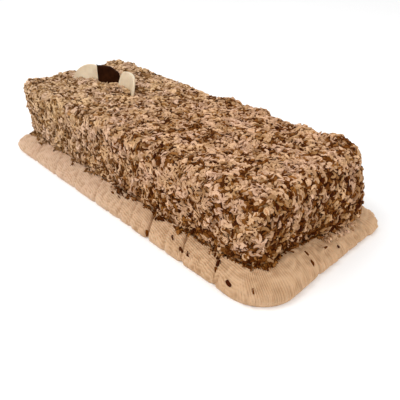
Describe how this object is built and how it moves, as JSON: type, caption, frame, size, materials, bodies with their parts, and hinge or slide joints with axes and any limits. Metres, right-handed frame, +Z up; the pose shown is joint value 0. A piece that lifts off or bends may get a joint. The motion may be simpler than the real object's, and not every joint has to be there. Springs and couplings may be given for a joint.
{
  "type": "nougat torte",
  "caption": "Loaf-shaped torte coated in nougat cream and chocolate shavings, with a ribbed cream border round its foot and chocolate pieces standing on top.",
  "frame": {"origin": "middle of the torte's underside, on the table", "axes": "+X along the torte's length, with the chocolate pieces near the -X end; +Z up; the front long side faces -Y"},
  "size_m": [0.3368, 0.1467, 0.0799],
  "materials": {
    "shaved_coat": "matt nougat cream under curly chocolate shavings",
    "nougat_cream": "matt whipped nougat cream, finely ribbed",
    "dark_chocolate": "satin dark chocolate",
    "white_chocolate": "satin white chocolate"
  },
  "bodies": {
    "root": {"torte": "shaved_coat", "cream_border": "nougat_cream", "dark_chocolate_tile": "dark_chocolate", "left_petal": "white_chocolate", "right_petal": "white_chocolate"}
  },
  "joints": []
}
